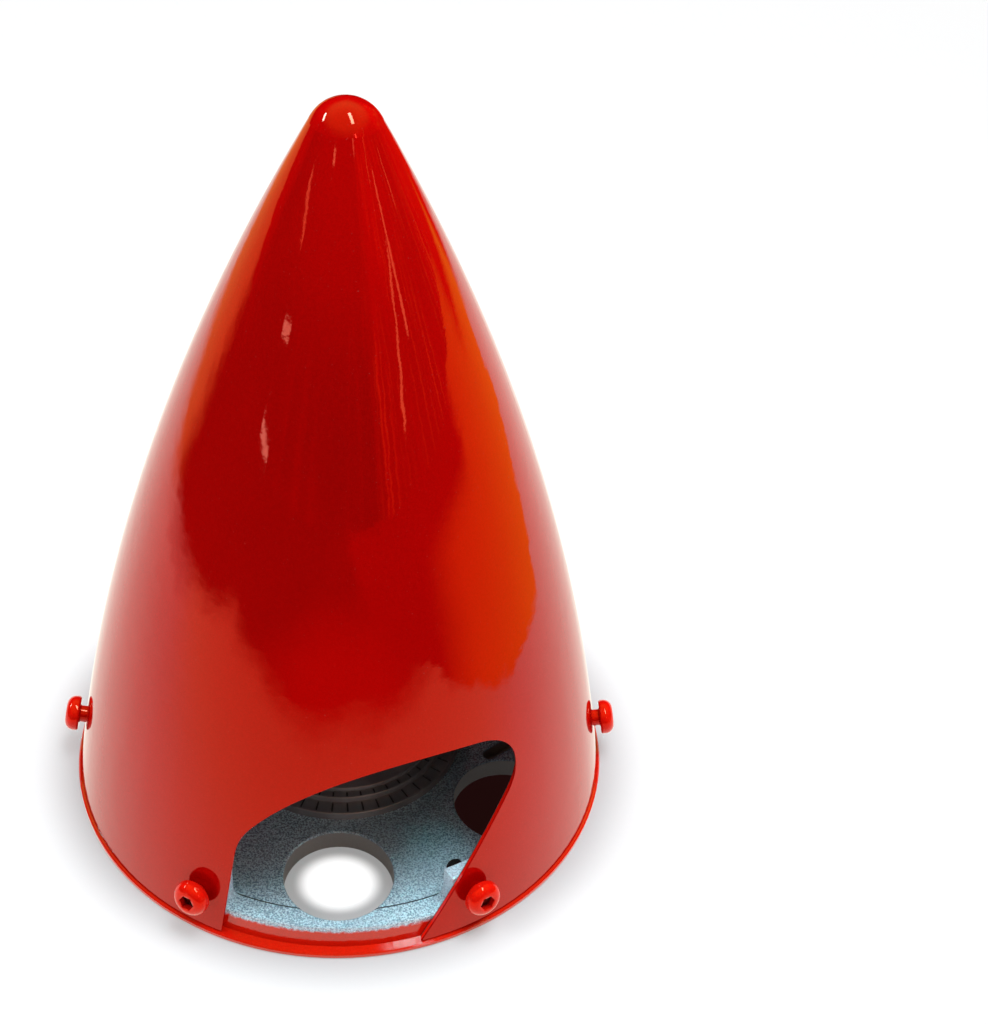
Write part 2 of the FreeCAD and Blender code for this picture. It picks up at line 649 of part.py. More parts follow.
hub = new_body("drive_hub")
steps = new_sketch(hub, "XZ_Plane", "hub_section")
q = polygon(
    steps,
    (size("hub_bore_radius"), 0),
    (bore, 0),
    (bore, thick),
    (size("hub_foot_radius"), thick),
    (size("hub_foot_radius"), thick + size("hub_foot_height")),
    (size("hub_mid_radius"), thick + size("hub_foot_height")),
    (size("hub_mid_radius"), thick + size("hub_mid_height")),
    (size("hub_top_radius"), thick + size("hub_mid_height")),
    (size("hub_top_radius"), thick + size("hub_top_height")),
    (size("hub_bore_radius"), thick + size("hub_top_height")),
)
closed(steps, *q)
for index in (0, 2, 4, 6, 8):
    fix(steps, "Horizontal", q[index])
for index in (1, 3, 5, 7, 9):
    fix(steps, "Vertical", q[index])
fix(steps, "PointOnObject", q[0], 1, -1)
drive(steps, "bore_r", "<<sizes>>.hub_bore_radius", "DistanceX", -1, 1, q[0], 1)
drive(steps, "press_r", "<<sizes>>.plate_bore_radius", "DistanceX", -1, 1, q[0], 2)
drive(steps, "seat_z", "<<sizes>>.plate_thickness", "DistanceY", -1, 1, q[2], 1)
drive(steps, "foot_r", "<<sizes>>.hub_foot_radius", "DistanceX", -1, 1, q[2], 2)
drive(steps, "foot_h", "<<sizes>>.hub_foot_height", "DistanceY", q[3], 1, q[3], 2)
drive(steps, "mid_r", "<<sizes>>.hub_mid_radius", "DistanceX", -1, 1, q[4], 2)
drive(steps, "mid_h", "<<sizes>>.hub_mid_height", "DistanceY", q[2], 1, q[5], 2)
drive(steps, "top_r", "<<sizes>>.hub_top_radius", "DistanceX", -1, 1, q[6], 2)
drive(steps, "top_h", "<<sizes>>.hub_top_height", "DistanceY", q[2], 1, q[7], 2)
doc.recompute()
hub_blank = revolve(hub, "hub_blank", steps)
crowns = edges(hub_blank, lambda e, b: e.Curve.TypeId == "Part::GeomCircle" and (
    abs(b.ZMin - thick - size("hub_foot_height")) < 1e-4 and e.Curve.Radius > size("hub_mid_radius") + 1e-3
    or abs(b.ZMin - thick - size("hub_mid_height")) < 1e-4 and e.Curve.Radius > size("hub_top_radius") + 1e-3
    or abs(b.ZMin - thick - size("hub_top_height")) < 1e-4))
hub_edges = dress(hub, "Fillet", "hub_edge_fillets", hub_blank, crowns, "<<sizes>>.hub_edge_fillet")

# Button head screws, one through each lug


def make_screw(number):
    name = "shell_screw_%d" % number
    screw = new_body(name)
    side = new_sketch(screw, "XZ_Plane", name + "_section")
    r = size("thread_radius")
    low = -size("screw_length")
    head = size("head_radius")
    s = polygon(
        side,
        (0, low),
        (r - size("screw_end_chamfer"), low),
        (r, low + size("screw_end_chamfer")),
        (r, 0),
        (head, 0),
        (head, size("head_height")),
        (0, size("head_height")),
    )
    closed(side, *s)
    for index in (0, 3, 5):
        fix(side, "Horizontal", s[index])
    for index in (2, 4, 6):
        fix(side, "Vertical", s[index])
    fix(side, "PointOnObject", s[0], 1, -2)
    fix(side, "PointOnObject", s[3], 1, -1)
    drive(side, "length", "<<sizes>>.screw_length", "DistanceY", s[0], 1, -1, 1)
    drive(side, "shank_r", "<<sizes>>.thread_radius", "DistanceX", -1, 1, s[3], 1)
    drive(side, "chamfer_x", "<<sizes>>.screw_end_chamfer", "DistanceX", s[1], 1, s[1], 2)
    drive(side, "chamfer_z", "<<sizes>>.screw_end_chamfer", "DistanceY", s[1], 1, s[1], 2)
    drive(side, "head_r", "<<sizes>>.head_radius", "DistanceX", -1, 1, s[3], 2)
    drive(side, "head_z", "<<sizes>>.head_height", "DistanceY", -1, 1, s[5], 1)
    doc.recompute()
    blank = revolve(screw, name + "_blank", side)
    crown = edges(blank, lambda e, b: b.ZLength < 1e-4 and abs(b.ZMin - size("head_height")) < 1e-4)
    crowned = dress(screw, "Fillet", name + "_crown", blank, crown, "<<sizes>>.head_crown_fillet")
    under = edges(crowned, lambda e, b: b.ZLength < 1e-4 and abs(b.ZMin) < 1e-4
                  and e.Curve.TypeId == "Part::GeomCircle" and e.Curve.Radius > head - 1e-3)
    rounded = dress(screw, "Fillet", name + "_under", crowned, under, "<<sizes>>.head_under_fillet")
    socket = new_sketch(screw, "XY_Plane", name + "_socket_outline",
                        "<<sizes>>.head_height - <<sizes>>.socket_depth")
    flats = size("socket_flats") / 2
    corner = flats / math.cos(math.pi / 6)
    corners = [(corner * math.cos(i * math.pi / 3), corner * math.sin(i * math.pi / 3)) for i in range(6)]
    hexagon = polygon(socket, *corners)
    guide = socket.addGeometry(Part.Circle(Vector(0, 0, 0), Vector(0, 0, 1), corner), True)
    closed(socket, *hexagon)
    fix(socket, "Coincident", guide, 3, -1, 1)
    for segment in hexagon:
        fix(socket, "PointOnObject", segment, 1, guide)
    for segment in hexagon[1:]:
        fix(socket, "Equal", hexagon[0], segment)
    fix(socket, "PointOnObject", hexagon[0], 1, -1)
    drive(socket, "corner_r", "<<sizes>>.socket_flats / 2 / cos(30 deg)", "Radius", guide)
    doc.recompute()
    drive_socket = feature(screw, "Pocket", name + "_socket", socket)
    drive_socket.Type = "ThroughAll"
    drive_socket.Reversed = True
    screw.Tip = drive_socket
    azimuth = "%d * 360 / <<sizes>>.screw_count" % (number - 1)
    reach_out = "(<<shell_section>>.Constraints.screw_x + <<sizes>>.head_stand_off * 1 mm"
    reach_out += " * cos(<<shell_section>>.Constraints.screw_tilt))"
    screw.setExpression(
        "Placement",
        "create(<<placement>>; create(<<vector>>; "
        + reach_out + " * cos(" + azimuth + "); "
        + reach_out + " * sin(" + azimuth + "); "
        + "(<<sizes>>.screw_height + <<sizes>>.head_stand_off"
        + " * sin(<<shell_section>>.Constraints.screw_tilt)) * 1 mm); "
        + "create(<<rotation>>; " + azimuth + "; "
        + "90 - <<shell_section>>.Constraints.screw_tilt / 1 deg; 0))")
    doc.recompute()
    return screw


screws = [make_screw(number) for number in range(1, int(size("screw_count")) + 1)]

# Checks, then one STEP file for each piece

pieces = [shell, plate, hub] + screws
doc.recompute()
for item in doc.Objects:
    for flag in ("Invalid", "Error"):
        if flag in item.State:
            raise RuntimeError(item.Label + " is " + flag)
for body in pieces:
    shape = body.Shape
    if shape.isNull() or not shape.isValid() or len(shape.Solids) != 1:
        raise RuntimeError(body.Label + " is not one valid solid")
for body in pieces:
    body.Shape.exportStep(os.path.join("parts", body.Label + ".step"))
    print(body.Label, round(body.Shape.Volume, 1), "cubic millimetres")
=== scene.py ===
import bmesh
import bpy
import math
from mathutils import Matrix, Vector


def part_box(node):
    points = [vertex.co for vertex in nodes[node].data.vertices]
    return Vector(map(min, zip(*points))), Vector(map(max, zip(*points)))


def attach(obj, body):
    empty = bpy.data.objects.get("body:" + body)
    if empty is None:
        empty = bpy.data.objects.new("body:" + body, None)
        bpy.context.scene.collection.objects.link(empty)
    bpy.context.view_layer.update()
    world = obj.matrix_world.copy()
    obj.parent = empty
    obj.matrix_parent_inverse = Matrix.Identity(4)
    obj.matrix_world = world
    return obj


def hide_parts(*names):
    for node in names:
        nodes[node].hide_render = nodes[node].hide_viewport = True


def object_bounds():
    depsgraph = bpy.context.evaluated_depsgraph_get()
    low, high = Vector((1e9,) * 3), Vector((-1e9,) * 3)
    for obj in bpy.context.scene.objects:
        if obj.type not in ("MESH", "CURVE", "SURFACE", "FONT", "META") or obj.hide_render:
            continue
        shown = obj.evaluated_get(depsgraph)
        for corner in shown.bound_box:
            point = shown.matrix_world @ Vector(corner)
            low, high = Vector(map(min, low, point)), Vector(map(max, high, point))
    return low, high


# Painted spinner on its turned back plate
# Metres, in the frame of the CAD model, with the rear face of the plate on the floor

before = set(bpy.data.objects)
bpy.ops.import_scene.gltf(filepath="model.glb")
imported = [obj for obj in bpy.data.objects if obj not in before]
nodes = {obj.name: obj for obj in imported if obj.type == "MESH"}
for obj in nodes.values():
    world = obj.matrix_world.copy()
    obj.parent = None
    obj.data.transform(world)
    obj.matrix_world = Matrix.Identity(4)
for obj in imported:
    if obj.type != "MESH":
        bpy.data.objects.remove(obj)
cad_low, cad_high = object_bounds()
plate_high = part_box("back_plate")[1]
hub_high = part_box("drive_hub")[1]

# Shell: a long arc from the foot to the ball nose

LIP_RADIUS = plate_high[0]
TIP_HEIGHT = cad_high[2]
TIP_RADIUS = 0.008
TIP_CENTRE = TIP_HEIGHT - TIP_RADIUS
OGIVE_RADIUS = 0.527
SHELL_FOOT = (LIP_RADIUS - 0.00075, 0.00165)
WALL = 0.0015


def ogive_centre():
    # the arc starts at the foot of the shell and runs smoothly into the ball nose
    run = -SHELL_FOOT[0]
    climb = TIP_CENTRE - SHELL_FOOT[1]
    gap = math.hypot(run, climb)
    inner = OGIVE_RADIUS - TIP_RADIUS
    along = (OGIVE_RADIUS ** 2 - inner ** 2 + gap ** 2) / (2 * gap)
    across = math.sqrt(OGIVE_RADIUS ** 2 - along ** 2)
    reach = SHELL_FOOT[0] + (run * along - climb * across) / gap
    height = SHELL_FOOT[1] + (climb * along + run * across) / gap
    return reach, height


OGIVE_CENTRE = ogive_centre()
TIP_JOINT = TIP_CENTRE + TIP_RADIUS * (TIP_CENTRE - OGIVE_CENTRE[1]) / (OGIVE_RADIUS - TIP_RADIUS)

# Plate

PLATE_TOP = 0.00635
PAINT_EDGE = 0.06048
PAINT_TOP = 0.0068
MIST_EDGE = 0.0605
SPIGOT_SIDE = 0.0609
UNDER_TOP = 0.0060
BORED_REACH = 0.05875
LUG_FOOT = 0.00705
GROOVE_INNER = 0.0550
GROOVE_OUTER = 0.05545

# Hub

HUB_BORE = 0.00795
HUB_PLUG = 0.020
HUB_EDGE = 0.0003
FOOT_RADIUS = hub_high[0]
FOOT_TOP = 0.0084
MID_RADIUS = 0.0255
MID_TOP = 0.00995
TOP_RADIUS = 0.0235
HUB_TOP = hub_high[2]
TICK_COUNT = 48
TICK_PITCH = 2 * math.pi / TICK_COUNT
FIRST_TICK = math.radians(3.6)
TICK_DEPTH = 0.00025
LOW_TICKS = (0.0257, 0.0284)
HIGH_TICKS = (0.0237, 0.0251)

# Screws, square to the skin

SCREW_COUNT = 6
SCREW_HEIGHT = 0.01065
SCREW_TILT = math.asin((SCREW_HEIGHT - OGIVE_CENTRE[1]) / OGIVE_RADIUS)
SCREW_REACH = OGIVE_CENTRE[0] + OGIVE_RADIUS * math.cos(SCREW_TILT)
SCREW_LENGTH = 0.012
HEAD_STAND_OFF = 0.0015
HEAD_RADIUS = 0.00415
HEAD_HEIGHT = 0.0033
HEAD_CROWN = 0.0022
HEAD_UNDER = 0.0006
SOCKET_FLATS = 0.0032
SOCKET_DEPTH = 0.002
SOCKET_FLOOR = HEAD_HEIGHT - SOCKET_DEPTH
MOUTH_BREAK = 0.00012
MOUTH_DROP = 0.0001
DRILL_POINT = 0.0005
THREAD_RADIUS = 0.002
THREAD_PITCH = 0.0007
THREAD_TURNS = 12
CORE_RADIUS = THREAD_RADIUS - 0.00038
CREST = 0.00005
NECK = 0.0002
PLAIN_SHANK = 0.0030
RUN_OUT = 0.0004
END_BREAK = 0.0003
THREAD_START = 0.0006
PAINTED_SHANK = 0.0034


# Node helpers

def fill(tree, item, inputs):
    for key, value in (inputs or {}).items():
        if isinstance(value, bpy.types.NodeSocket):
            tree.links.new(value, item.inputs[key])
        else:
            item.inputs[key].default_value = value
    return item


def add(tree, kind, inputs=None, **settings):
    item = tree.nodes.new(kind)
    for key, value in settings.items():
        setattr(item, key, value)
    return fill(tree, item, inputs)


def calc(tree, operation, first, second=0.0):
    item = add(tree, "ShaderNodeMath", {0: first, 1: second}, operation=operation)
    return item.outputs[0]


def total(tree, first, *others):
    for other in others:
        first = calc(tree, "ADD", first, other)
    return first


def both(tree, first, second):
    return calc(tree, "MULTIPLY", first, second)


def either(tree, first, second):
    return calc(tree, "MAXIMUM", first, second)


def outside(tree, mask):
    return calc(tree, "SUBTRACT", 1.0, mask)


def rise(tree, value, low, high, start=0.0, end=1.0):
    # smooth step from start at low to end at high
    item = add(tree, "ShaderNodeMapRange",
               {"Value": value, "From Min": low, "From Max": high, "To Min": start, "To Max": end},
               interpolation_type="SMOOTHSTEP")
    return item.outputs["Result"]


def above(tree, value, level, soft):
    # one over the level and zero under it, blurred by soft each way
    return rise(tree, value, level - soft, level + soft)


def below(tree, value, level, soft):
    return rise(tree, value, level + soft, level - soft)


def between(tree, value, low, high, soft):
    return both(tree, above(tree, value, low, soft), below(tree, value, high, soft))


def blend(tree, factor, first, second):
    item = add(tree, "ShaderNodeMix", {0: factor, 6: first, 7: second}, data_type="RGBA")
    return item.outputs[2]


def mix_value(tree, factor, first, second):
    item = add(tree, "ShaderNodeMix", {0: factor, 2: first, 3: second}, data_type="FLOAT")
    return item.outputs[0]


def place(tree):
    return add(tree, "ShaderNodeTexCoord").outputs["Object"]


def parts_of(tree, vector):
    item = add(tree, "ShaderNodeSeparateXYZ", {0: vector})
    return item.outputs[0], item.outputs[1], item.outputs[2]


def distance(tree, first, second):
    squares = total(tree, both(tree, first, first), both(tree, second, second))
    return calc(tree, "SQRT", squares)


def noise(tree, vector, scale, detail=2.0, rough=0.5):
    item = add(tree, "ShaderNodeTexNoise",
               {"Vector": vector, "Scale": scale, "Detail": detail, "Roughness": rough})
    return item.outputs["Fac"]


def drift(tree, vector, scale, detail, span):
    # noise about zero, over a span of lengths
    return both(tree, calc(tree, "SUBTRACT", noise(tree, vector, scale, detail), 0.5), span)


def group(name, inputs, outputs):
    tree = bpy.data.node_groups.new(name, "ShaderNodeTree")
    for label, kind, default in inputs:
        socket = tree.interface.new_socket(label, in_out="INPUT", socket_type=kind)
        socket.default_value = default
    for label, kind in outputs:
        tree.interface.new_socket(label, in_out="OUTPUT", socket_type=kind)
    entry = tree.nodes.new("NodeGroupInput")
    leave = tree.nodes.new("NodeGroupOutput")
    return tree, entry, leave


def use(tree, source, inputs):
    item = tree.nodes.new("ShaderNodeGroup")
    item.node_tree = source
    return fill(tree, item, inputs)


def new_material(name):
    material = bpy.data.materials.new(name)
    material.use_nodes = True
    tree = material.node_tree
    tree.nodes.clear()
    shader = tree.nodes.new("ShaderNodeBsdfPrincipled")
    out = tree.nodes.new("ShaderNodeOutputMaterial")
    tree.links.new(shader.outputs[0], out.inputs["Surface"])
    return material, tree, shader


def dress(obj, material):
    obj.data.materials.clear()
    obj.data.materials.append(material)


# Shared effects

ENAMEL = (0.315, 0.0009, 0.0007, 1)
DUST = (0.6, 0.45, 0.4, 1)
CLOUD_SCALE = 22.0
PEEL_SCALE = 420.0
DUST_SCALE = 2600.0
GRAIN_SCALE = 2300.0
ENAMEL_GLOSS = 1.75
ENAMEL_TINT = (1.0, 0.05, 0.03, 1)


def make_gloss_paint():
    # red enamel with a faint orange peel and a little dust
    tree, entry, leave = group(
        "gloss_paint",
        [("Shade", "NodeSocketColor", ENAMEL), ("Peel", "NodeSocketFloat", 0.03)],
        [("Color", "NodeSocketColor"), ("Roughness", "NodeSocketFloat"), ("Normal", "NodeSocketVector")],
    )
    spot = place(tree)
    broad = noise(tree, spot, CLOUD_SCALE, 2.0)
    fine = noise(tree, spot, PEEL_SCALE, 3.0)
    dust = above(tree, noise(tree, spot, DUST_SCALE, 1.0), 0.76, 0.04)
    grain = rise(tree, noise(tree, spot, GRAIN_SCALE, 1.0), 0.25, 0.75, 0.93, 1.07)
    value = both(tree, grain, rise(tree, broad, 0.3, 0.7, 0.95, 1.05))
    deep = add(tree, "ShaderNodeHueSaturation", {"Value": value, "Color": entry.outputs["Shade"]})
    dusty = blend(tree, both(tree, dust, 0.05), deep.outputs[0], DUST)
    peel = add(tree, "ShaderNodeBump",
               {"Height": fine, "Strength": entry.outputs["Peel"], "Distance": 0.0006})
    rough = total(tree, rise(tree, broad, 0.3, 0.7, 0.030, 0.048), both(tree, dust, 0.2))
    tree.links.new(dusty, leave.inputs["Color"])
    tree.links.new(rough, leave.inputs["Roughness"])
    tree.links.new(peel.outputs[0], leave.inputs["Normal"])
    return tree


def make_round_turning():
    # fine rings left by the lathe, as a height, with the distance from the axis
    tree, entry, leave = group(
        "round_turning",
        [("Pitch", "NodeSocketFloat", 0.0003)],
        [("Radius", "NodeSocketFloat"), ("Height", "NodeSocketFloat"), ("Angle", "NodeSocketFloat")],
    )
    x, y, z = parts_of(tree, place(tree))
    radius = distance(tree, x, y)
    along = total(tree, radius, both(tree, z, 0.37))
    ring = add(tree, "ShaderNodeTexNoise",
               {"W": calc(tree, "DIVIDE", along, entry.outputs["Pitch"]), "Scale": 1.0, "Detail": 2.0},
               noise_dimensions="1D")
    tree.links.new(radius, leave.inputs["Radius"])
    tree.links.new(ring.outputs["Fac"], leave.inputs["Height"])
    tree.links.new(calc(tree, "ARCTAN2", y, x), leave.inputs["Angle"])
    return tree


GLOSS_PAINT = make_gloss_paint()
ROUND_TURNING = make_round_turning()


def red_shader(shader):
    # the same enamel on the shell and the screws
    shader.inputs["IOR"].default_value = ENAMEL_GLOSS
    shader.inputs["Specular IOR Level"].default_value = 1.0
    shader.inputs["Specular Tint"].default_value = ENAMEL_TINT


# Shell: enamel outside and on the cut edges, bare spun aluminium inside

# brighter enamel on the cut faces, a painted highlight
LIT_CUT_ENAMEL = (0.75, 0.007, 0.001, 1)
SPUN_DARK = (0.10, 0.085, 0.082, 1)
SPUN_PALE = (0.20, 0.17, 0.165, 1)
OVERSPRAY = (0.12, 0.006, 0.005, 1)
UNEVEN_SCALE = 300.0
SPUN_SCALE = 60.0
SPRAY_SCALE = 90.0
SPRAY_HEIGHT = 0.045


def depth_in_wall(tree, radius, z):
    # how far below the outer skin, on the ogive and on the ball nose
    from_axis = calc(tree, "SUBTRACT", radius, OGIVE_CENTRE[0])
    from_level = calc(tree, "SUBTRACT", z, OGIVE_CENTRE[1])
    in_ogive = calc(tree, "SUBTRACT", OGIVE_RADIUS, distance(tree, from_axis, from_level))
    from_ball = distance(tree, radius, calc(tree, "SUBTRACT", z, TIP_CENTRE))
    in_ball = calc(tree, "SUBTRACT", TIP_RADIUS, from_ball)
    return mix_value(tree, calc(tree, "GREATER_THAN", z, TIP_JOINT), in_ogive, in_ball)


def make_shell_finish():
    material, tree, shader = new_material("shell_enamel")
    red_shader(shader)
    paint = use(tree, GLOSS_PAINT, {"Peel": 0.022})
    turning = use(tree, ROUND_TURNING, {"Pitch": 0.0005})
    spot = place(tree)
    x, y, z = parts_of(tree, spot)
    depth = depth_in_wall(tree, distance(tree, x, y), z)
    uneven = both(tree, noise(tree, spot, UNEVEN_SCALE, 3.0), 0.0002)
    bare = above(tree, total(tree, depth, uneven), WALL - 0.0001, 0.0001)
    # the cut faces of the openings get the brighter enamel, a painted highlight
    cut_face_highlight = rise(tree, depth, 0.00018, 0.0004)
    enamel = blend(tree, cut_face_highlight, paint.outputs["Color"], LIT_CUT_ENAMEL)
    metal = blend(tree, noise(tree, spot, SPUN_SCALE, 3.0), SPUN_DARK, SPUN_PALE)
    # overspray that came in through the openings
    cloud = total(tree, z, both(tree, noise(tree, spot, SPRAY_SCALE), 0.03))
    spray = below(tree, cloud, SPRAY_HEIGHT, 0.025)
    metal = blend(tree, both(tree, spray, 0.35), metal, OVERSPRAY)
    rings = add(tree, "ShaderNodeBump",
                {"Height": turning.outputs["Height"], "Strength": both(tree, bare, 0.3),
                 "Distance": 0.0001, "Normal": paint.outputs["Normal"]})
    tree.links.new(blend(tree, bare, enamel, metal), shader.inputs["Base Color"])
    tree.links.new(mix_value(tree, bare, paint.outputs["Roughness"], 0.42), shader.inputs["Roughness"])
    tree.links.new(both(tree, bare, 0.8), shader.inputs["Metallic"])
    tree.links.new(rings.outputs[0], shader.inputs["Normal"])
    return material


# Plate: blasted aluminium, painted on the lip and the spigot

LIP_ENAMEL = (0.58, 0.008, 0.002, 1)
# grit specks, the bright one a painted sparkle highlight
GRIT_DARK_SPECK = (0.16, 0.27, 0.36, 1)
GRIT_SPARKLE = (0.72, 0.93, 1.0, 1)
BLAST_STAIN = (0.34, 0.46, 0.56, 1)
BORED_WALL = (0.50, 0.51, 0.49, 1)
# paler lugs, partly a painted highlight
LIT_SMOOTH_LUG = (0.62, 0.70, 0.80, 1)
PINK_MIST = (0.60, 0.25, 0.20, 1)
# painted shade in the turned groove
GROOVE_SHADE = (0.01, 0.012, 0.016, 1)
GRIT_SCALE = 2400.0
FACET_SCALE = 2700.0
STAIN_SCALE = 60.0
RAGGED_SCALE = 1100.0
RAGGED_SPAN = 0.00022


def make_plate_finish():
    material, tree, shader = new_material("blasted_plate")
    paint = use(tree, GLOSS_PAINT, {"Peel": 0.08, "Shade": LIP_ENAMEL})
    spot = place(tree)
    x, y, z = parts_of(tree, spot)
    radius = distance(tree, x, y)
    edge = total(tree, radius, drift(tree, spot, RAGGED_SCALE, 3.0, RAGGED_SPAN))
    rim = above(tree, edge, PAINT_EDGE, 0.00008)
    sides = both(tree, above(tree, radius, SPIGOT_SIDE, 0.0001), below(tree, z, UNDER_TOP, 0.0001))
    painted = both(tree, either(tree, rim, sides), below(tree, z, PAINT_TOP, 0.0002))
    # coarse grit as random dark and bright specks, the bright ones a painted sparkle highlight
    grit = noise(tree, spot, GRIT_SCALE, 3.0, 0.65)
    facets = add(tree, "ShaderNodeTexVoronoi", {"Vector": spot, "Scale": FACET_SCALE}, feature="F1")
    tone = noise(tree, spot, STAIN_SCALE, 3.0)
    bare = blend(tree, above(tree, grit, 0.50, 0.12), GRIT_DARK_SPECK, GRIT_SPARKLE)
    bare = blend(tree, rise(tree, tone, 0.3, 0.7, 0.0, 0.3), bare, BLAST_STAIN)
    # smooth bored walls of the holes, plainer than the blasted faces
    in_hole = below(tree, radius, BORED_REACH, 0.00025)
    bored = both(tree, in_hole, below(tree, z, UNDER_TOP - 0.00005, 0.00015))
    bare = blend(tree, bored, bare, BORED_WALL)
    # lugs machined smoother than the blasted face and painted paler, partly a painted highlight where they
    # rise into the light
    lugs = above(tree, z, LUG_FOOT, 0.00045)
    bare = blend(tree, both(tree, lugs, 0.5), bare, LIT_SMOOTH_LUG)
    # paint mist beside the masked edge
    mist = above(tree, total(tree, edge, both(tree, grit, 0.0008)), MIST_EDGE, 0.0007)
    mist = both(tree, mist, above(tree, z, UNDER_TOP + 0.0002, 0.0001))
    bare = blend(tree, both(tree, mist, 0.35), bare, PINK_MIST)
    # painted shade: a dark line in the turned groove
    groove = between(tree, radius, GROOVE_INNER, GROOVE_OUTER, 0.00005)
    groove = both(tree, groove, below(tree, z, PLATE_TOP - 0.00003, 0.00002))
    groove = both(tree, groove, above(tree, z, UNDER_TOP - 0.0001, 0.0001))
    bare = blend(tree, both(tree, groove, 0.92), bare, GROOVE_SHADE)
    rough = rise(tree, facets.outputs["Distance"], 0.0, 0.6, 0.30, 0.55)
    metallic = mix_value(tree, bored, 0.15, 0.6)
    pits = total(tree, grit, both(tree, facets.outputs["Distance"], 0.6))
    strength = both(tree, mix_value(tree, painted, 0.8, 0.04), outside(tree, both(tree, bored, 0.9)))
    blasted = add(tree, "ShaderNodeBump",
                  {"Height": pits, "Strength": strength, "Distance": 0.0003,
                   "Normal": paint.outputs["Normal"]})
    tree.links.new(blend(tree, painted, bare, paint.outputs["Color"]), shader.inputs["Base Color"])
    tree.links.new(mix_value(tree, painted, rough, paint.outputs["Roughness"]), shader.inputs["Roughness"])
    tree.links.new(mix_value(tree, painted, metallic, 0.0), shader.inputs["Metallic"])
    tree.links.new(blasted.outputs[0], shader.inputs["Normal"])
    return material


# Hub: smooth turned metal, with painted shade in the radial ticks on its ledges

HUB_DARK = (0.24, 0.232, 0.235, 1)
HUB_PALE = (0.35, 0.338, 0.340, 1)
# painted shade in the sunk ticks
TICK_SHADE = (0.02, 0.017, 0.016, 1)
TICK_HALF_WIDTH = 0.00021
HUB_STAIN_SCALE = 120.0


def on_ledge(tree, radius, z, ticks, top):
    across = between(tree, radius, ticks[0], ticks[1], 0.0001)
    return both(tree, across, above(tree, z, top - 0.0004, 0.00005))


def make_hub_finish():
    material, tree, shader = new_material("ticked_hub")
    turning = use(tree, ROUND_TURNING, {"Pitch": 0.00025})
    spot = place(tree)
    z = parts_of(tree, spot)[2]
    radius = turning.outputs["Radius"]
    # distance along the ledge from the nearest tick
    count = calc(tree, "DIVIDE", turning.outputs["Angle"], TICK_PITCH)
    shift = TICK_COUNT - FIRST_TICK / TICK_PITCH + 0.5
    phase = calc(tree, "FRACT", total(tree, count, shift))
    off = calc(tree, "ABSOLUTE", calc(tree, "SUBTRACT", phase, 0.5))
    off = both(tree, both(tree, off, TICK_PITCH), radius)
    ledges = either(tree, on_ledge(tree, radius, z, LOW_TICKS, FOOT_TOP),
                    on_ledge(tree, radius, z, HIGH_TICKS, MID_TOP))
    ticks = both(tree, below(tree, off, TICK_HALF_WIDTH, 0.00008), ledges)
    stain = noise(tree, spot, HUB_STAIN_SCALE, 4.0)
    metal = blend(tree, above(tree, stain, 0.5, 0.2), HUB_DARK, HUB_PALE)
    # painted shade in the ticks
    metal = blend(tree, both(tree, ticks, 0.85), metal, TICK_SHADE)
    bump = add(tree, "ShaderNodeBump",
               {"Height": turning.outputs["Height"], "Strength": 0.1, "Distance": 0.0002})
    shader.inputs["Metallic"].default_value = 0.25
    tree.links.new(metal, shader.inputs["Base Color"])
    tree.links.new(rise(tree, stain, 0.3, 0.7, 0.34, 0.46), shader.inputs["Roughness"])
    tree.links.new(bump.outputs[0], shader.inputs["Normal"])
    return material


# Screws: enamel on the head and the outer shank, black oxide thread

SCREW_ENAMEL = (0.60, 0.006, 0.002, 1)
OXIDE_DARK = (0.012, 0.012, 0.013, 1)
OXIDE_PALE = (0.045, 0.043, 0.042, 1)
OXIDE_SCALE = 700.0
SHANK_EDGE_SCALE = 900.0
SOCKET_REACH = 0.00184


def screw_azimuth(number):
    return (number - 1) * 2 * math.pi / SCREW_COUNT


def screw_place(number):
    azimuth = screw_azimuth(number)
    out = SCREW_REACH + HEAD_STAND_OFF * math.cos(SCREW_TILT)
    up = SCREW_HEIGHT + HEAD_STAND_OFF * math.sin(SCREW_TILT)
    turn = Matrix.Rotation(azimuth, 4, "Z") @ Matrix.Rotation(math.pi / 2 - SCREW_TILT, 4, "Y")
    return Matrix.Translation((out * math.cos(azimuth), out * math.sin(azimuth), up)) @ turn


def make_screw_finish(number):
    material, tree, shader = new_material("screw_%d_enamel" % number)
    red_shader(shader)
    paint = use(tree, GLOSS_PAINT, {"Peel": 0.05, "Shade": SCREW_ENAMEL})
    spot = place(tree)
    # z runs along this screw, from the underside of its head
    mapping = add(tree, "ShaderNodeMapping", {"Vector": spot}, vector_type="TEXTURE")
    mapping.inputs["Location"].default_value = screw_place(number).translation
    mapping.inputs["Rotation"].default_value = (0.0, math.pi / 2 - SCREW_TILT, screw_azimuth(number))
    x, y, z = parts_of(tree, mapping.outputs[0])
    edge = total(tree, z, drift(tree, spot, SHANK_EDGE_SCALE, 2.0, 0.0006))
    painted = above(tree, edge, -PAINTED_SHANK, 0.0002)
    # painted shade: the floor of the socket is left mostly black
    inside = both(tree, below(tree, distance(tree, x, y), SOCKET_REACH, 0.00004),
                  below(tree, z, SOCKET_FLOOR + 0.00055, 0.00035))
    inside = both(tree, inside, above(tree, z, 0.0010, 0.0001))
    painted = both(tree, painted, outside(tree, both(tree, inside, 0.85)))
    black = blend(tree, noise(tree, spot, OXIDE_SCALE, 3.0), OXIDE_DARK, OXIDE_PALE)
    tree.links.new(blend(tree, painted, black, paint.outputs["Color"]), shader.inputs["Base Color"])
    tree.links.new(mix_value(tree, painted, 0.36, paint.outputs["Roughness"]), shader.inputs["Roughness"])
    tree.links.new(both(tree, outside(tree, painted), 0.8), shader.inputs["Metallic"])
    tree.links.new(paint.outputs["Normal"], shader.inputs["Normal"])
    return material


# Mesh helpers

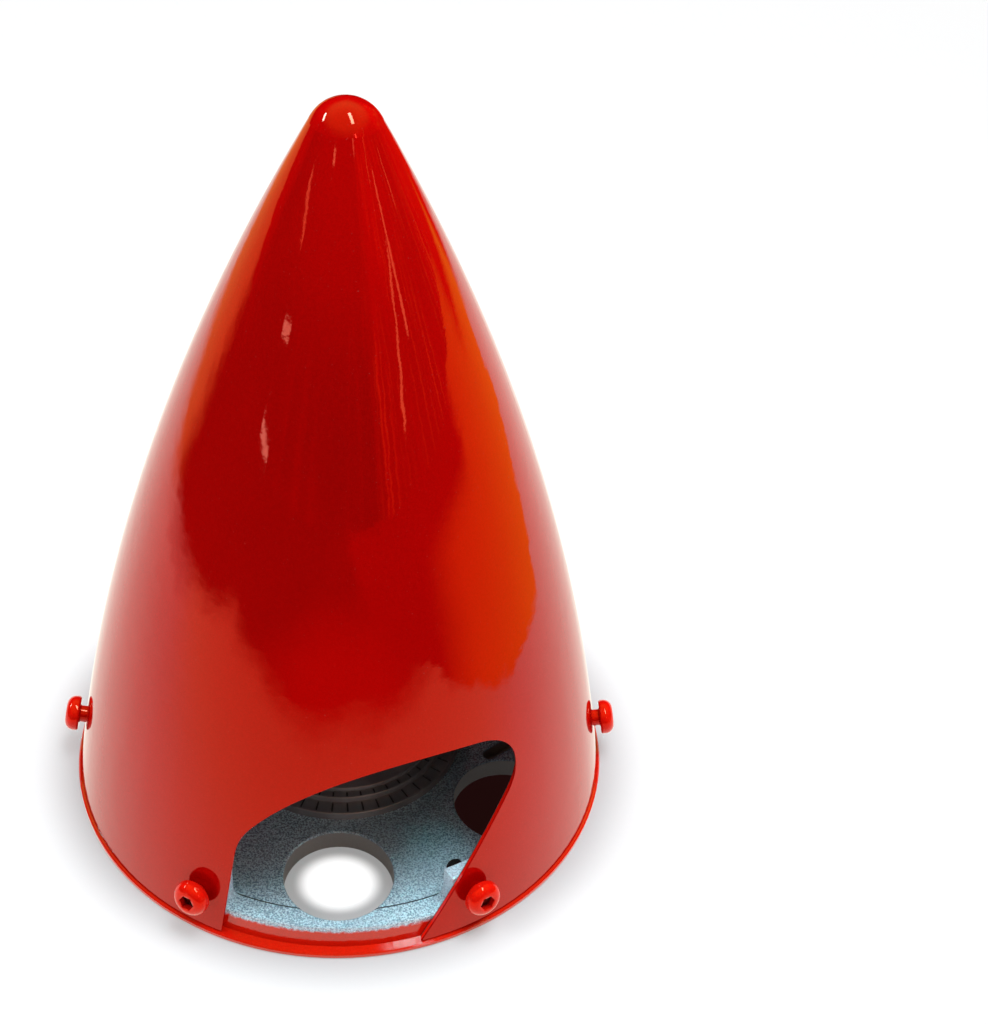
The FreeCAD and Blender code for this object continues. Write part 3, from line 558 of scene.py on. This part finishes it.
def arc_points(centre, radius, start, end, count):
    # points of an arc in the XZ plane, angles in degrees from +X
    points = []
    for index in range(count + 1):
        angle = math.radians(start + (end - start) * index / count)
        points.append((centre[0] + radius * math.cos(angle), centre[1] + radius * math.sin(angle)))
    return points


def lathe(mesh, profile, steps):
    # turns a profile of (radius, height) round Z
    verts = [mesh.verts.new((reach, 0.0, height)) for reach, height in profile]
    edges = [mesh.edges.new(pair) for pair in zip(verts, verts[1:])]
    bmesh.ops.spin(mesh, geom=verts + edges, cent=(0, 0, 0), axis=(0, 0, 1), dvec=(0, 0, 0),
                   angle=2 * math.pi, steps=steps, use_merge=True, use_normal_flip=False)
    bmesh.ops.remove_doubles(mesh, verts=mesh.verts[:], dist=1e-7)


def pull(mesh, edges):
    # a ring of new faces on open edges, as its far vertices and its far edges
    made = bmesh.ops.extrude_edge_only(mesh, edges=edges)["geom"]
    verts = [item for item in made if isinstance(item, bmesh.types.BMVert)]
    ends = [item for item in made if isinstance(item, bmesh.types.BMEdge) and item.is_boundary]
    return verts, ends


def joined_faces(start, left):
    # the closed island of faces that start belongs to, taken out of left
    island = []
    front = [start]
    left.discard(start)
    while front:
        face = front.pop()
        island.append(face)
        near = {other for edge in face.edges for other in edge.link_faces if other in left}
        left -= near
        front += near
    return island


def face_outwards(mesh):
    # normals that agree, turned where an island would hold a negative volume
    bmesh.ops.recalc_face_normals(mesh, faces=mesh.faces[:])
    left = set(mesh.faces)
    while left:
        island = joined_faces(next(iter(left)), left)
        volume = 0.0
        for face in island:
            first = face.verts[0].co
            for second, third in zip(face.verts[1:], face.verts[2:]):
                volume += first.dot(second.co.cross(third.co))
        if volume < 0:
            bmesh.ops.reverse_faces(mesh, faces=island)


def finish_piece(name, mesh, material, smooth):
    face_outwards(mesh)
    data = bpy.data.meshes.new(name)
    mesh.to_mesh(data)
    mesh.free()
    obj = bpy.data.objects.new(name, data)
    bpy.context.scene.collection.objects.link(obj)
    for face in data.polygons:
        face.use_smooth = True
    data.set_sharp_from_angle(angle=math.radians(smooth))
    dress(obj, material)
    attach(obj, "root")
    return obj


# Screw meshes

def screw_outline():
    # from the mouth of the socket over the head and down the core of the thread
    mouth = SOCKET_FLATS / 2 / math.cos(math.pi / 6) + MOUTH_BREAK
    crown = (HEAD_RADIUS - HEAD_CROWN, HEAD_HEIGHT - HEAD_CROWN)
    outline = [(mouth, HEAD_HEIGHT), (HEAD_RADIUS - HEAD_CROWN, HEAD_HEIGHT)]
    outline += arc_points(crown, HEAD_CROWN, 84, 0, 14)
    outline += arc_points((HEAD_RADIUS - HEAD_UNDER, HEAD_UNDER), HEAD_UNDER, 0, -90, 6)
    outline += [(THREAD_RADIUS + NECK, 0.0), (THREAD_RADIUS, -NECK), (THREAD_RADIUS, -PLAIN_SHANK)]
    outline += [(CORE_RADIUS, -PLAIN_SHANK - RUN_OUT), (CORE_RADIUS, END_BREAK - SCREW_LENGTH)]
    outline += [(CORE_RADIUS - END_BREAK, -SCREW_LENGTH)]
    return outline


def close_end(mesh):
    rim = [edge for edge in mesh.edges if edge.is_boundary and edge.verts[0].co.z < -SCREW_LENGTH / 2]
    bmesh.ops.contextual_create(mesh, geom=rim)


def sink_socket(mesh):
    # from the round mouth to a hexagon, down its flats and into a shallow drill point
    mouth = [edge for edge in mesh.edges if edge.is_boundary and edge.verts[0].co.z > 0]
    verts, ends = pull(mesh, mouth)
    for vert in verts:
        angle = math.atan2(vert.co.y, vert.co.x)
        from_flat = (angle + math.pi / 6) % (math.pi / 3) - math.pi / 6
        reach = SOCKET_FLATS / 2 / math.cos(from_flat)
        vert.co = Vector((reach * math.cos(angle), reach * math.sin(angle), HEAD_HEIGHT - MOUTH_DROP))
    verts, ends = pull(mesh, ends)
    bmesh.ops.translate(mesh, verts=verts, vec=(0, 0, MOUTH_DROP - SOCKET_DEPTH))
    verts, ends = pull(mesh, ends)
    bmesh.ops.scale(mesh, verts=verts, vec=(0.03, 0.03, 1))
    bmesh.ops.translate(mesh, verts=verts, vec=(0, 0, -DRILL_POINT))
    bmesh.ops.contextual_create(mesh, geom=ends)


def wind_thread(mesh):
    # a closed ridge swept along the shank
    half = THREAD_PITCH * 0.44
    steps = 28
    outline = [(CORE_RADIUS - CREST, -half), (CORE_RADIUS, -half), (THREAD_RADIUS, -CREST),
               (THREAD_RADIUS, CREST), (CORE_RADIUS, half), (CORE_RADIUS - CREST, half)]
    start = THREAD_START - SCREW_LENGTH
    verts = [mesh.verts.new((reach, 0.0, start + height)) for reach, height in outline]
    ridge = mesh.faces.new(verts)
    bmesh.ops.spin(mesh, geom=[ridge] + list(ridge.edges) + verts, cent=(0, 0, 0), axis=(0, 0, 1),
                   dvec=(0, 0, THREAD_PITCH / steps), angle=2 * math.pi * THREAD_TURNS,
                   steps=steps * THREAD_TURNS, use_duplicate=False)


def make_screw(number):
    mesh = bmesh.new()
    lathe(mesh, screw_outline(), 96)
    close_end(mesh)
    sink_socket(mesh)
    wind_thread(mesh)
    bmesh.ops.transform(mesh, matrix=screw_place(number), verts=mesh.verts[:])
    name = "shell_screw_%d_threaded" % number
    obj = finish_piece(name, mesh, make_screw_finish(number), 35.0)
    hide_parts("shell_screw_%d" % number)


# Hub mesh

def hub_outline():
    outline = [(HUB_BORE, 0.0), (HUB_PLUG, 0.0), (HUB_PLUG, PLATE_TOP), (FOOT_RADIUS, PLATE_TOP)]
    outline += arc_points((FOOT_RADIUS - HUB_EDGE, FOOT_TOP - HUB_EDGE), HUB_EDGE, 0, 90, 5)
    outline += [(LOW_TICKS[1], FOOT_TOP), (LOW_TICKS[0], FOOT_TOP), (MID_RADIUS, FOOT_TOP)]
    outline += arc_points((MID_RADIUS - HUB_EDGE, MID_TOP - HUB_EDGE), HUB_EDGE, 0, 90, 5)
    outline += [(HIGH_TICKS[1], MID_TOP), (HIGH_TICKS[0], MID_TOP), (TOP_RADIUS, MID_TOP)]
    outline += arc_points((TOP_RADIUS - HUB_EDGE, HUB_TOP - HUB_EDGE), HUB_EDGE, 0, 90, 5)
    outline += arc_points((HUB_BORE + HUB_EDGE, HUB_TOP - HUB_EDGE), HUB_EDGE, 90, 180, 5)
    return outline + outline[:1]


def cut_ticks(mesh):
    # one narrow face of each ledge sinks at every tick
    chosen = []
    for face in mesh.faces:
        centre = face.calc_center_median()
        reach = math.hypot(centre.x, centre.y)
        turn = (math.atan2(centre.y, centre.x) - FIRST_TICK) % TICK_PITCH
        low = abs(centre.z - FOOT_TOP) < 1e-5 and LOW_TICKS[0] < reach < LOW_TICKS[1]
        high = abs(centre.z - MID_TOP) < 1e-5 and HIGH_TICKS[0] < reach < HIGH_TICKS[1]
        if (low or high) and min(turn, TICK_PITCH - turn) < TICK_PITCH / 16:
            chosen.append(face)
    sunk = bmesh.ops.extrude_discrete_faces(mesh, faces=chosen)
    corners = list({vert for face in sunk["faces"] for vert in face.verts})
    bmesh.ops.translate(mesh, verts=corners, vec=(0, 0, -TICK_DEPTH))


def make_hub():
    mesh = bmesh.new()
    steps = 8 * TICK_COUNT
    lathe(mesh, hub_outline(), steps)
    turn = Matrix.Rotation(FIRST_TICK - math.pi / steps, 3, "Z")
    bmesh.ops.rotate(mesh, verts=mesh.verts[:], cent=(0, 0, 0), matrix=turn)
    cut_ticks(mesh)
    obj = finish_piece("drive_hub_ticked", mesh, make_hub_finish(), 40.0)
    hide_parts("drive_hub")


make_hub()
for number in range(1, SCREW_COUNT + 1):
    make_screw(number)

dress(nodes["spinner_shell"], make_shell_finish())
dress(nodes["back_plate"], make_plate_finish())


# Floor and surroundings

WHITE = (1.28, 1.34, 1.20, 1)
WARM_WHITE = (1.40, 1.45, 0.85, 1)
ORANGE = (1.70, 0.74, 0.04, 1)
AMBER = (1.30, 0.62, 0.16, 1)
RED_GLOW = (0.85, 0.01, 0.0, 1)
DEEP_RED = (0.62, 0.0, 0.0, 1)
LIVELY_RED = (1.15, 0.02, 0.0, 1)
DARK = (0.04, 0.0005, 0.0, 1)
CEILING_GLOW = (1.6, 1.1, 0.25, 1)
BACKDROP = (0.985, 0.985, 0.985, 1)
SHADOW_REACH = 0.0600
HOLE_AHEAD = 0.0425
TABLE_HALF = 3.0
CONTACT_SHADE = (0.18, 0.17, 0.17, 1)
# painted shade of the table under the plate, in its own colour and as the camera sees it
PLATE_SHADE_ON_TABLE = (0.03, 0.012, 0.012, 1)
SEEN_PLATE_SHADE = (0.016, 0.004, 0.004, 1)
# painted shade round the front hole and painted light seen through it
HOLE_RIM_SHADE = (0.28, 0.28, 0.28, 1)
HOLE_LIGHT = (1.4, 1.4, 1.4, 1)


def seen_in_gloss(tree, spot):
    # a white table with a warm room round it, as the enamel mirrors it
    x, y = parts_of(tree, spot)[:2]
    sway = drift(tree, spot, 7.0, 3.0, 0.12)
    ripple = drift(tree, spot, 45.0, 2.0, 0.03)
    side = total(tree, x, total(tree, sway, ripple))
    ahead = total(tree, y, calc(tree, "SUBTRACT", sway, ripple))
    reach = distance(tree, x, y)
    behind = both(tree, either(tree, calc(tree, "SUBTRACT", y, 0.03), 0.0), 0.8)
    past_right = above(tree, calc(tree, "SUBTRACT", side, behind), 0.195, 0.009)
    past_left = below(tree, side, -0.31, 0.06)
    past_front = below(tree, ahead, -0.25, 0.05)
    past_back = above(tree, total(tree, reach, sway), 0.53, 0.07)
    room = either(tree, either(tree, past_right, past_left), either(tree, past_front, past_back))
    slope = calc(tree, "DIVIDE", y, either(tree, calc(tree, "ABSOLUTE", x), 0.05))
    slope = total(tree, slope, both(tree, sway, 2.0))
    # to the right an orange wall, cut off behind and far away
    right = above(tree, x, 0.14, 0.06)
    sunny = both(tree, right, above(tree, slope, -0.80, 0.35))
    gap = both(tree, above(tree, reach, 0.825, 0.275), below(tree, slope, -0.15, 0.10))
    sunny = both(tree, sunny, outside(tree, gap))
    distant = both(tree, above(tree, reach, 0.925, 0.175), above(tree, slope, 0.30, 0.15))
    sunny = both(tree, sunny, outside(tree, either(tree, distant, above(tree, slope, 0.95, 0.15))))
    # to the left a dark room with an amber corner
    amber = both(tree, below(tree, x, -0.20, 0.05), above(tree, slope, 0.27, 0.15))
    glow = rise(tree, reach, 0.30, 0.95, 1.0, 0.15)
    glow = both(tree, glow, rise(tree, x, -0.30, -0.05, 0.05, 1.0))
    red_wall = blend(tree, above(tree, slope, -0.10, 0.20), DEEP_RED, LIVELY_RED)
    colour = blend(tree, glow, DARK, RED_GLOW)
    colour = blend(tree, right, colour, red_wall)
    colour = blend(tree, sunny, colour, ORANGE)
    colour = blend(tree, amber, colour, AMBER)
    table = blend(tree, below(tree, y, -0.075, 0.045), WHITE, WARM_WHITE)
    return blend(tree, room, table, colour)


def seen_by_camera(tree, reach, hole):
    # pale table with a painted contact shadow, painted shade under the plate and a painted light below the
    # front hole
    shade = rise(tree, reach, 0.0600, 0.0760, 0.30, 1.0)
    # painted light on the table below the front hole, fading to painted shade at its rim
    painted_hole_light = rise(tree, hole, 0.0108, 0.0066, 0.12, 1.0)
    lit = blend(tree, painted_hole_light, HOLE_RIM_SHADE, HOLE_LIGHT)
    under = blend(tree, below(tree, hole, 0.0165, 0.0010), SEEN_PLATE_SHADE, lit)
    tone = blend(tree, shade, CONTACT_SHADE, BACKDROP)
    return blend(tree, below(tree, reach, SHADOW_REACH, 0.0005), tone, under)


def make_floor():
    material, tree, shader = new_material("white_table")
    shader.inputs["Roughness"].default_value = 0.85
    spot = place(tree)
    x, y = parts_of(tree, spot)[:2]
    reach = distance(tree, x, y)
    # from the middle of the spot that is seen through the front hole
    hole = distance(tree, x, both(tree, total(tree, y, HOLE_AHEAD), 1.15))
    inner = below(tree, reach, SHADOW_REACH, 0.0005)
    paper = blend(tree, noise(tree, spot, 9.0, 3.0), (0.88, 0.88, 0.88, 1), (0.91, 0.91, 0.91, 1))
    # painted shade in the table's own colour under the plate, except below the front hole
    shaded_under_plate = both(tree, inner, above(tree, hole, 0.0160, 0.0010))
    tree.links.new(blend(tree, shaded_under_plate, paper, PLATE_SHADE_ON_TABLE), shader.inputs["Base Color"])
    pale = add(tree, "ShaderNodeEmission", {"Color": seen_by_camera(tree, reach, hole), "Strength": 1.0})
    # the table under the plate is dark in the gloss too, a painted shade
    mirrored = blend(tree, inner, seen_in_gloss(tree, spot), (0.09, 0.085, 0.085, 1))
    mirror = add(tree, "ShaderNodeEmission", {"Color": mirrored, "Strength": 1.0})
    path = add(tree, "ShaderNodeLightPath")
    # far off the table fades into the same white as the wall
    whiteness = rise(tree, reach, 0.20, 0.60, 0.72, 1.0)
    looked_at = add(tree, "ShaderNodeMixShader",
                    {0: both(tree, path.outputs["Is Camera Ray"], whiteness),
                     1: shader.outputs[0], 2: pale.outputs[0]})
    joined = add(tree, "ShaderNodeMixShader",
                 {0: path.outputs["Is Glossy Ray"], 1: looked_at.outputs[0], 2: mirror.outputs[0]})
    out = [node for node in tree.nodes if node.type == "OUTPUT_MATERIAL"][0]
    tree.links.new(joined.outputs[0], out.inputs["Surface"])
    mesh = bmesh.new()
    bmesh.ops.create_grid(mesh, x_segments=2, y_segments=2, size=TABLE_HALF)
    data = bpy.data.meshes.new("table_top")
    mesh.to_mesh(data)
    mesh.free()
    data.materials.append(material)
    floor = bpy.data.objects.new("table_top", data)
    bpy.context.scene.collection.objects.link(floor)


make_floor()

# Lamps and bright edges of the room that show in the gloss
# azimuth and elevation of both ends and half the width, in degrees, and the colour

TUBE = (10.0, 70.0, 70.0, 1)
WINDOW = (2.2, 10.0, 10.0, 1)
BULB = (2.6, 9.0, 7.0, 1)
CURTAIN = (2.4, 5.0, 3.0, 1)
PLEAT = (2.0, 3.6, 2.2, 1)
DAYLIGHT = (8.0, 8.0, 8.0, 1)
SHELF = (2.4, 5.0, 4.0, 1)
DOOR = (2.4, 3.6, 1.6, 1)

STRIPS = [
    ((147.5, 39.0), (170.5, 33.5), 2.75, TUBE),
    ((56.0, 80.0), (-51.0, 62.0), 4.0, TUBE),
    ((-146.5, 7.5), (-138.5, 8.5), 0.7, WINDOW),
    ((-147.0, 0.5), (-138.5, -0.5), 0.75, WINDOW),
    ((-120.0, 24.0), (-115.5, 24.0), 0.6, BULB),
    ((-33.5, 18.5), (-32.0, 7.0), 1.25, CURTAIN),
    ((-35.0, 13.5), (-40.5, 11.0), 0.9, CURTAIN),
    ((-40.5, 11.0), (-47.5, 3.0), 0.9, CURTAIN),
    ((-161.5, 14.5), (-146.0, 13.5), 0.7, PLEAT),
    ((-59.0, 39.0), (-57.0, 30.0), 1.7, DAYLIGHT),
    ((-68.0, 27.0), (-71.0, 25.5), 1.7, SHELF),
    ((-28.0, 36.5), (-42.5, 19.5), 0.6, DOOR),
    ((-6.0, 13.0), (-7.5, 9.5), 0.7, DOOR),
]


def dot(tree, vector, fixed):
    item = add(tree, "ShaderNodeVectorMath", {0: vector, 1: fixed}, operation="DOT_PRODUCT")
    return item.outputs["Value"]


def heading(azimuth, elevation):
    # a direction in the room, in degrees round from +X and up from the table
    turn = math.radians(azimuth)
    lift = math.radians(elevation)
    return Vector((math.cos(turn) * math.cos(lift), math.sin(turn) * math.cos(lift), math.sin(lift)))


def strip_light(tree, towards, first, second, half_angle):
    # a long lamp in the room, between two directions
    start = heading(*first)
    end = heading(*second)
    half_width = math.sin(math.radians(half_angle))
    across = start.cross(end).normalized()
    middle = (start + end).normalized()
    reach = middle.dot(start)
    mask = rise(tree, calc(tree, "ABSOLUTE", dot(tree, towards, across)), half_width, half_width * 0.6)
    return both(tree, mask, above(tree, dot(tree, towards, middle), reach, 0.0004))


def curtains(tree, towards, stretch):
    # noise drawn out upwards, as the folds of a curtain are
    return add(tree, "ShaderNodeMapping", {"Vector": towards, "Scale": stretch}).outputs[0]


def mirrored_room(tree, towards, x, y, z):
    folds = noise(tree, curtains(tree, towards, (13.0, 13.0, 1.2)), 1.0, 3.0)
    pleats = above(tree, noise(tree, curtains(tree, towards, (40.0, 40.0, 2.0)), 1.0, 2.0), 0.61, 0.04)
    edge = total(tree, x, both(tree, calc(tree, "SUBTRACT", folds, 0.5), 0.35))
    right = above(tree, edge, 0.38, 0.10)
    overhead = rise(tree, z, 0.08, 0.45, 0.0, 0.55)
    back_wall = rise(tree, y, 0.0, 0.45, 0.0, 0.60)
    faint = rise(tree, folds, 0.52, 0.66, 0.0, 0.22)
    lit_pleats = both(tree, pleats, right)
    red = total(tree, both(tree, right, 0.52), overhead, back_wall, both(tree, lit_pleats, 0.8), faint, 0.04)
    green = total(tree, both(tree, lit_pleats, 0.5), rise(tree, z, 0.55, 0.95, 0.0, 1.2))
    walls = add(tree, "ShaderNodeCombineColor", {0: red, 1: green, 2: both(tree, green, 0.15)})
    colour = blend(tree, rise(tree, z, 0.45, 0.9, 0.0, 0.8), walls.outputs[0], CEILING_GLOW)
    for first, second, half_angle, shine in STRIPS:
        colour = blend(tree, strip_light(tree, towards, first, second, half_angle), colour, shine)
    return colour


def soft_room(tree, x, y):
    # broad windows on both sides, less light from the front and from above
    sides = either(tree, rise(tree, x, 0.45, 1.0, 0.0, 1.30), rise(tree, x, -0.45, -1.0, 0.0, 0.95))
    level = total(tree, sides, rise(tree, y, -0.2, 0.8, 0.24, 0.55))
    return add(tree, "ShaderNodeCombineColor", {0: level, 1: level, 2: both(tree, level, 1.03)}).outputs[0]


def make_world():
    world = bpy.data.worlds.new("studio")
    bpy.context.scene.world = world
    world.use_nodes = True
    tree = world.node_tree
    tree.nodes.clear()
    out = tree.nodes.new("ShaderNodeOutputWorld")
    towards = add(tree, "ShaderNodeTexCoord").outputs["Generated"]
    x, y, z = parts_of(tree, towards)
    path = add(tree, "ShaderNodeLightPath")
    gloss = mirrored_room(tree, towards, x, y, z)
    colour = blend(tree, path.outputs["Is Glossy Ray"], soft_room(tree, x, y), gloss)
    colour = blend(tree, path.outputs["Is Camera Ray"], colour, BACKDROP)
    light = add(tree, "ShaderNodeBackground", {"Color": colour, "Strength": 1.0})
    tree.links.new(light.outputs[0], out.inputs["Surface"])


make_world()

# Soft lamps

AIM = Vector((0, 0, 0.02))


def lamp(name, spot, size, power, colour):
    data = bpy.data.lights.new(name, "AREA")
    data.shape = "DISK"
    data.size = size
    data.energy = power
    data.color = colour
    obj = bpy.data.objects.new(name, data)
    obj.location = spot
    obj.rotation_euler = (AIM - Vector(spot)).to_track_quat("-Z", "Y").to_euler()
    obj.visible_glossy = False
    bpy.context.scene.collection.objects.link(obj)


lamp("soft_box", (0.246, -0.043, 1.2), 0.58, 13.0, (0.93, 1.0, 1.07))
lamp("left_window", (-0.82, -0.22, 0.85), 0.35, 4.2, (0.95, 1.0, 1.05))

# Camera at the measured place

CAMERA_PLACE = (0.00393, -0.31725, 0.345)
CAMERA_TURN = (49.7693, -3.2482, -2.5273)
LENS = 66.13

camera_data = bpy.data.cameras.new("camera")
camera_data.lens = LENS
camera_data.sensor_width = 36.0
camera_data.clip_start = 0.01
camera = bpy.data.objects.new("camera", camera_data)
camera.location = CAMERA_PLACE
camera.rotation_euler = [math.radians(angle) for angle in CAMERA_TURN]
bpy.context.scene.collection.objects.link(camera)
bpy.context.scene.camera = camera
bpy.context.scene.view_settings.view_transform = "Standard"

bpy.context.view_layer.update()
